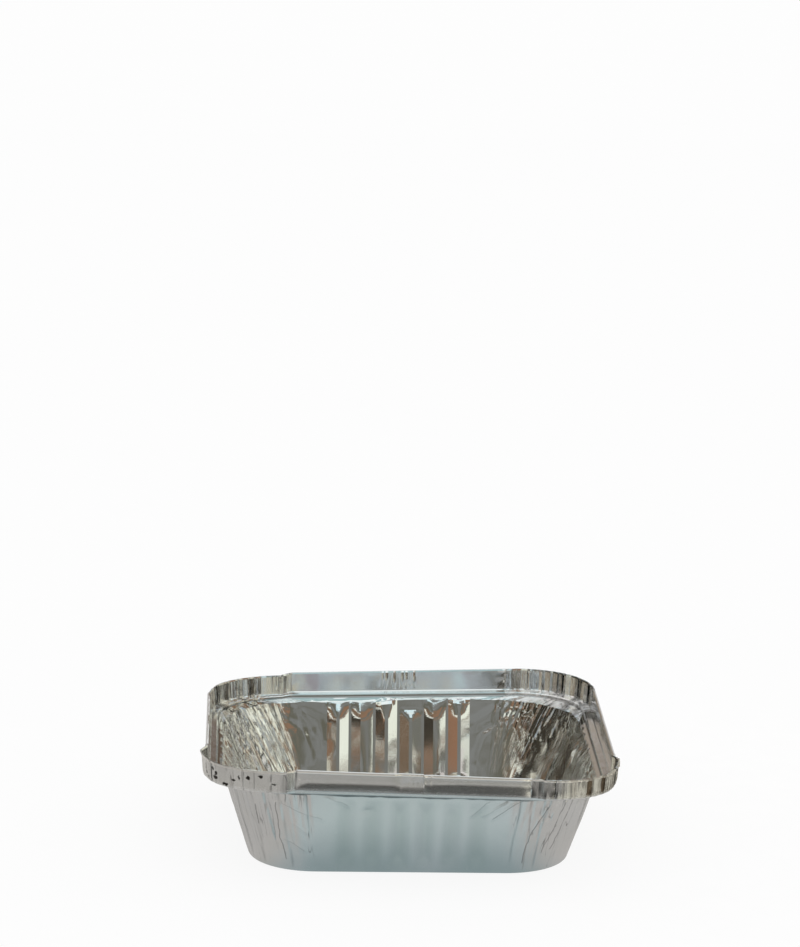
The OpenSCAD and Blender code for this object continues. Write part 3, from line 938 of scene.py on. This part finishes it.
def foil_finish():
    """Rolled aluminium foil: bright inside, satin outside, with fine crinkles."""
    material, tree = new_material("rolled_aluminium_foil")

    def mark(name, output="Fac"):
        return node_of(tree, "Attribute", {"attribute_name": name})[output]

    def vector(operation, *sockets):
        return vector_math(tree, operation, *sockets)

    def mottle(place, scale, detail, stretch=(1, 1, 1), roughness=0.5, output="Fac"):
        return noise(tree, vector("MULTIPLY", place, stretch)[0], scale, detail, roughness, output)

    def wobble(place, scale, reach):
        """A drift to and fro, in clouds, by up to half the reach."""
        drift = mottle(place, scale, 2, output="Color")
        return vector("MULTIPLY", vector("SUBTRACT", drift, (0.5, 0.5, 0.5))[0], reach)[0]

    def away_from(place, start, end):
        """Distance from the straight line between two places."""
        run = np.subtract(end, start)
        from_start = vector("SUBTRACT", place, start)[0]
        share = vector("DOT_PRODUCT", from_start, tuple(run / run.dot(run)))["Value"].clamped()
        nearest = node_of(tree, "VectorMath", {"operation": "SCALE"}, {
            "Vector": tuple(run), "Scale": share})[0]
        return vector("DISTANCE", from_start, nearest)["Value"]

    satin, gathered, gap, groove_shade = mark("satin"), mark("gathered"), mark("gap"), mark("rib_groove")
    flat_sheet, fall_line = mark("flat_sheet", "Vector"), mark("fall_line", "Vector")
    stain, scuff = mark("stain"), mark("scuff")

    cloud = mottle(flat_sheet, 0.05, 2)
    rolling = mottle(flat_sheet, 2.2, 3, (0.05, 1, 1))
    # Fine folds that run down the gathered corners, stronger in some clouds of them
    gathers = mottle(fall_line, 0.8, 3, (1, 0.05, 1), 0.6)
    gathers = (gathers - 0.5).math("ABSOLUTE") * 4
    strong = mottle(fall_line, 0.13, 1, (1, 0.5, 1)).between(0.38, 0.62)
    gathers = gathers * (0.4 + strong * 1.3)
    crinkle = mottle(flat_sheet, 0.9, 3, roughness=0.6)
    speck = mottle(flat_sheet, 3.0, 2)

    # Pen-fine creases of the front wall and its corners, on the outer face only: a bump, with a
    # line of painted shade down the middle
    metres = node_of(tree, "TexCoord")["Object"]
    wavering = wobble(flat_sheet, 0.16, (2.0, 0, 2.0))
    front = vector("MULTIPLY", metres, (1 / MM, 0, 1 / MM))[0]
    front = vector("ADD", front, wavering)[0]
    behind = node_of(tree, "SeparateXYZ", None, [metres])["Y"].between(-0.05, -0.045)
    on_front = satin * (1 - behind)
    bent, crease_shade = None, None
    for points, width, dark in FRONT_CREASES:
        for (x0, z0), (x1, z1) in zip(points[:-1], points[1:]):
            away = away_from(front, (x0, 0, z0), (x1, 0, z1))
            bent = most(bent, (1 - away / width).clamped())
            crease_shade = most(crease_shade, (1 - away / CREASE_SHADE_WIDTH).clamped() * dark * 0.8)
    # Hair lines of painted shade down the gathers
    hairs = mottle(fall_line, 0.16, 2, (1, 0.13, 1), 0.55)
    hairs = (1 - (hairs - 0.5).math("ABSOLUTE") / 0.008).clamped()
    hairs = hairs * mottle(fall_line, 0.12, 1, (1, 0.7, 1)).between(0.46, 0.6)
    crease_shade = crease_shade.math("MAXIMUM", hairs * gathered * 0.6) * on_front
    bent = bent * on_front

    # Patches of painted shade with ragged edges, where openings between the laps would be
    opening_shade = None
    ragged = vector("ADD", fall_line, wobble(fall_line, 1.3, (1.6, 1.6, 0)))[0]
    for turn, height, half_width, half_height in OPENING_SHADES:
        across = math.radians(turn) * RIM_CORNER + LEFT * SIDE_STEP
        middle = (across, FOOT_LENGTH + height - WALL_HEIGHT - LEDGE_RISE, 0)
        away = vector("SUBTRACT", ragged, middle)[0]
        away = vector("MULTIPLY", away, (1 / half_width, 1 / half_height, 0))[0]
        opening_shade = most(opening_shade, 1 - vector("LENGTH", away)["Value"].between(0.75, 1.1))

    tint = (cloud * 1.6 - 0.3).clamped()
    bright = blend(tree, tint, BRIGHT_WARM, BRIGHT_COOL)
    dull = blend(tree, tint, SATIN_DARK, SATIN_PALE)
    # Painted shade: the outer face darker and greener in the rib grooves
    dull = blend(tree, groove_shade * 0.7, dull, GROOVE_SHADE_TONE)
    clean = blend(tree, satin, bright, dull)
    # Dark stain with painted shade on some pleats
    clean = blend(tree, stain, clean, STAIN_AND_SHADE_TONE)
    # Painted highlights: pale and less metallic along the hem's crest, the flange's foot and the
    # ledge
    clean = blend(tree, scuff, clean, PAINTED_HIGHLIGHT_TONE)
    # Painted shade: fold and pleat edges, the ledge's underside, the hem, creases and openings
    # darkened towards near black
    dark = gap.math("MAXIMUM", crease_shade).math("MAXIMUM", opening_shade * satin)
    color = blend(tree, dark, clean, PAINTED_SHADE_TONE)

    roughness = 0.07 + satin * (0.185 - stain * 0.1)
    roughness = roughness + (rolling - 0.5) * 0.06 + (speck - 0.5) * 0.04 + scuff * 0.3
    height = crinkle * (0.25 + gathered * 0.1) + gathers * gathered * 1.9
    height = height + rolling * 0.22 + speck * 0.05
    height = height * (1 - satin * 0.6) + bent * 4
    bump = node_of(tree, "Bump", None, {
        "Strength": 0.5, "Distance": 0.00006, "Height": height})
    finish_of(tree, node_of(tree, "BsdfPrincipled", None, {
        "Base Color": color, "Metallic": 1 - scuff * 0.85, "Roughness": roughness,
        "Normal": bump["Normal"]})["BSDF"])
    return material


# Share of plain white in the paper where the camera or a reflection sees it
PAPER_WHITE = 0.88


def floor_finish():
    """Plain pale paper under the tray."""
    material, tree = new_material("pale_paper")
    place = node_of(tree, "TexCoord")["Object"]
    color = node_of(tree, "ValToRGB", {"stops": (
        (0.0, (0.9, 0.9, 0.9, 1)), (1.0, (0.93, 0.93, 0.93, 1)))}, {
        "Fac": noise(tree, place, 6.0, 3.0)})["Color"]
    paper = node_of(tree, "BsdfPrincipled", None, {
        "Base Color": color, "Roughness": 0.8, "Specular IOR Level": 0.1})["BSDF"]
    white = glow_of(tree, (1, 1, 1, 1))
    ray = node_of(tree, "LightPath")
    seen = ray["Is Camera Ray"] + ray["Is Glossy Ray"] + ray["Is Transmission Ray"]
    share = (seen * PAPER_WHITE).clamped()
    finish_of(tree, node_of(tree, "MixShader", None, [share, paper, white])[0])
    return material


def glow_of(tree, color):
    return node_of(tree, "Emission", None, {"Color": color, "Strength": 1.0})["Emission"]


def glowing(name, shade):
    """A card's finish: it glows evenly in the colour that shade works out."""
    material, tree = new_material(name)
    place = node_of(tree, "TexCoord")["Object"]
    finish_of(tree, glow_of(tree, shade(tree, place)))
    return material


def drifting(tones, bands, edge):
    """Two tones that drift into each other over an edge, in clouds or in upright bands."""
    def shade(tree, place):
        spread = vector_math(tree, "MULTIPLY", place, (bands, bands, 1))[0]
        drift = noise(tree, spread, 1.6, 2.0)
        return blend(tree, drift.between(0.5 - edge, 0.5 + edge), *tones)
    return shade


# The mirrored floor, by distance in metres from a square inside the base
FLOOR_SQUARE = 0.034
NEAR_FOOT, NEAR_HEAD, NEAR_CLOUD = (0.26, 0.325, 0.33), (0.5, 0.57, 0.56), (0.62, 0.62, 0.66)
CORNER_TONE, CORNER_DARK = (0.485, 0.46, 0.43), (0.17, 0.15, 0.125)
CORNER_PALE = (0.6, 0.57, 0.53)
PLEAT_GOLD, PLEAT_BROWN = (1.0, 0.95, 0.8), (0.12, 0.095, 0.07)
FAR_TONE, FAR_RIGHT = (0.385, 0.372, 0.345), (0.305, 0.297, 0.262)
STRIP_TONE = (0.035, 0.032, 0.028)


def floor_shade(tree, place):
    away = vector_math(tree, "ABSOLUTE", place)[0]
    past = vector_math(tree, "SUBTRACT", away, (FLOOR_SQUARE, FLOOR_SQUARE, 1))[0]
    past = vector_math(tree, "MAXIMUM", past, (0, 0, 0))[0]
    distance = vector_math(tree, "LENGTH", past)["Value"]
    axes = node_of(tree, "SeparateXYZ", None, [place])
    across, back = axes["X"], axes["Y"]
    sideways = node_of(tree, "SeparateXYZ", None, [away])["X"]

    near = blend(tree, distance.between(0.03, 0.058), NEAR_FOOT, NEAR_HEAD)
    near = blend(tree, sideways.between(0.038, 0.066), near, CORNER_TONE)
    cloud = noise(tree, place, 28.0, 2.0)
    near = blend(tree, cloud.between(0.3, 0.75) * 0.22, near, NEAR_CLOUD)

    patches = noise(tree, place, 42.0, 1.0).between(0.52, 0.66)
    corner = blend(tree, patches * sideways.between(0.055, 0.07), CORNER_PALE, CORNER_DARK)
    pleated = noise(tree, place, 80.0, 1.0) + across.between(0.085, 0.105) * 0.06
    pleated = blend(tree, pleated.between(0.52, 0.58), PLEAT_GOLD, PLEAT_BROWN)
    corner = blend(tree, across.between(0.055, 0.065), corner, pleated)
    floor = blend(tree, distance.between(0.066, 0.09), near, corner)

    far = blend(tree, across.between(-0.01, 0.03), FAR_TONE, FAR_RIGHT)
    beyond = distance - across.between(0.045, 0.055) * 0.025
    floor = blend(tree, beyond.between(0.16, 0.2), floor, far)

    strip = distance.between(0.076, 0.084) * (1 - distance.between(0.124, 0.139))
    strip = strip * (1 - sideways.between(0.058, 0.066)) * (1 - back.between(-0.09, -0.08))
    return blend(tree, strip, floor, STRIP_TONE)


# ---- Studio: paper, cards and camera

# Each card is a patch of a dome round the tray: its azimuths from the front to the right, its
# elevations, the two tones it drifts between, and what else it has
CARD_RADIUS = 2.4
CARD_STEPS = 12
NEAR = {"radius": 2.38}
CYAN = ((0.56, 0.8, 0.88), (0.8, 0.96, 1.0))
GLOW = ((0.84, 0.88, 0.76), (0.93, 0.95, 0.86))
WOOD = ((0.28, 0.17, 0.11), (0.2, 0.15, 0.1))
CARDS = (
    # Straight ahead: olive with a blue gap in it, and sky above
    ("front", (-32, 24), (3, 57), ((0.13, 0.126, 0.098), (0.225, 0.232, 0.225)), {"edge": 0.18}),
    ("front_low", (24, 45.5), (3, 27), ((0.15, 0.148, 0.12), (0.2, 0.205, 0.195)), {}),
    ("front_strip", (-8, 10), (43.3, 46.4), CYAN, NEAR),
    ("front_blue", (-4, 4.5), (46.4, 57), CYAN, NEAR),
    ("front_sky", (-32, 14), (57, 64), ((0.62, 0.8, 0.84), (0.82, 0.9, 0.9)), {}),
    # Left: warm wood, then a dark corner of the room with a glow before it
    ("warm", (-48.5, -32), (3, 33), ((0.3, 0.165, 0.1), (0.17, 0.125, 0.085)), {"bands": 3}),
    ("warm_sky", (-48.5, -32), (33, 64), ((0.8, 0.84, 0.76), (0.86, 0.88, 0.8)), {}),
    ("shade", (-150, -48.5), (3, 38), ((0.022, 0.021, 0.018), (0.07, 0.06, 0.044)), {"bands": 2.5}),
    ("shade_sky", (-150, -48.5), (38, 64), ((0.74, 0.7, 0.68), (0.88, 0.86, 0.84)), {}),
    ("glow", (-62, -42), (36, 56), GLOW, NEAR),
    ("glow_strip", (-66, -37), (20.4, 23), GLOW, NEAR),
    # Right: a window with wood over it, then slats
    ("window", (45.5, 72), (3, 25), ((0.86, 0.9, 0.78), (0.95, 0.97, 0.88)), {}),
    ("beam_strip", (24, 60), (20.4, 23), ((0.3, 0.18, 0.12), (0.22, 0.16, 0.11)), NEAR),
    ("beam", (24, 45.5), (27, 43), WOOD, {}),
    ("lintel", (14, 45.5), (43, 64), WOOD, {}),
    ("lintel_right", (45.5, 72), (25, 64), WOOD, {}),
    ("slats", (72, 150), (3, 64), ((0.88, 0.87, 0.73), (0.24, 0.22, 0.17)), {"bands": 3.5}),
    # Behind: a dim wall under the sky, in two tones of brown
    ("back_left", (150, 179), (2, 23), ((0.12, 0.088, 0.066), (0.19, 0.148, 0.118)), {}),
    ("back_right", (179, 210), (2, 23), ((0.23, 0.195, 0.155), (0.34, 0.295, 0.25)), {}),
    ("back_sky", (150, 210), (23, 64), ((0.33, 0.31, 0.34), (0.58, 0.74, 0.79)), {"bands": 2}),
    ("sky", (-180, 180), (64, 79), ((0.76, 0.92, 0.96), (0.94, 1.0, 1.0)), {}),
    ("zenith", (-180, 180), (79, 89.9), ((0.26, 0.38, 0.4), (0.44, 0.58, 0.6)), {}),
)
# The mirrored floor lies over the paper, and under the inner face of the tray's foil
FLOOR_CARD_HEIGHT = 0.00003
PAPER_REACH = 9.0
WORLD_STRENGTH = 0.95


def stage_mesh(name, points, faces, material):
    mesh = bpy.data.meshes.new(name)
    mesh.from_pydata(points, [], faces)
    mesh.materials.append(material)
    thing = new_object(name, mesh)
    return thing


def direction(azimuth, elevation):
    """Azimuth 0 looks from the tray towards the camera's side, and 90 to the right."""
    a, e = math.radians(azimuth), math.radians(elevation)
    return Vector((math.sin(a) * math.cos(e), -math.cos(a) * math.cos(e), math.sin(e)))


def arc_card(name, azimuths, elevations, tones, bands=1.0, edge=0.1, radius=CARD_RADIUS):
    points, faces = [], []
    for row in range(CARD_STEPS + 1):
        for step in range(CARD_STEPS + 1):
            azimuth = azimuths[0] + (azimuths[1] - azimuths[0]) * step / CARD_STEPS
            elevation = elevations[0] + (elevations[1] - elevations[0]) * row / CARD_STEPS
            points.append(direction(azimuth, elevation) * radius)
    for row in range(CARD_STEPS):
        for step in range(CARD_STEPS):
            low = row * (CARD_STEPS + 1) + step
            faces.append((low, low + 1, low + CARD_STEPS + 2, low + CARD_STEPS + 1))
    reflected_only(stage_mesh(name, points, faces, glowing(name, drifting(tones, bands, edge))))


def level_square(name, reach, height, material):
    points = [(-reach, -reach, height), (reach, -reach, height),
              (reach, reach, height), (-reach, reach, height)]
    return stage_mesh(name, points, [(0, 1, 2, 3)], material)


def reflected_only(card):
    """Cards give the foil something to mirror, and neither hide nor light anything."""
    card.visible_camera = False
    card.visible_diffuse = False
    card.visible_shadow = False


def build_studio():
    level_square("floor", PAPER_REACH, 0, floor_finish())
    world = bpy.data.worlds.new("studio")
    world.use_nodes = True
    background = world.node_tree.nodes["Background"]
    background.inputs["Color"].default_value = (1, 1, 1, 1)
    background.inputs["Strength"].default_value = WORLD_STRENGTH
    bpy.context.scene.world = world

    for name, azimuths, elevations, tones, others in CARDS:
        arc_card("card_" + name, azimuths, elevations, tones, **others)
    floor_glow = glowing("card_floor", floor_shade)
    reflected_only(level_square("card_floor", CARD_RADIUS, FLOOR_CARD_HEIGHT, floor_glow))


# The photograph's camera, worked out from the tray's rim, ledge and base
CAMERA_DISTANCE = 1.56022
CAMERA_AZIMUTH = -2.48
CAMERA_ELEVATION = 11.47
CAMERA_AIM = (-0.00463, 0.0, 0.14463)
CAMERA_ROLL = 1.24
# Focal length in pixels of the photograph, its height in pixels, and the sensor in millimetres
CAMERA_REACH = 3963.12
PHOTO_HEIGHT = 947
SENSOR = 36


def set_camera():
    back = direction(CAMERA_AZIMUTH, CAMERA_ELEVATION)
    right = (-back).cross(Vector((0, 0, 1))).normalized()
    up = right.cross(-back)
    roll = math.radians(CAMERA_ROLL)
    across = right * math.cos(roll) + up * math.sin(roll)
    above = up * math.cos(roll) - right * math.sin(roll)
    place = Matrix((across, above, back)).transposed().to_4x4()
    place.translation = Vector(CAMERA_AIM) + back * CAMERA_DISTANCE
    lens = bpy.data.cameras.new("camera")
    lens.sensor_fit, lens.sensor_width = "AUTO", SENSOR
    lens.lens = CAMERA_REACH * SENSOR / PHOTO_HEIGHT
    camera = new_object("camera", lens)
    camera.matrix_world = place
    bpy.context.scene.camera = camera


set_camera()
build_studio()
bpy.context.scene.view_settings.view_transform = "Standard"

tray = build_tray()
tray.data.materials.append(foil_finish())
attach(tray, "root")
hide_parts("tray")
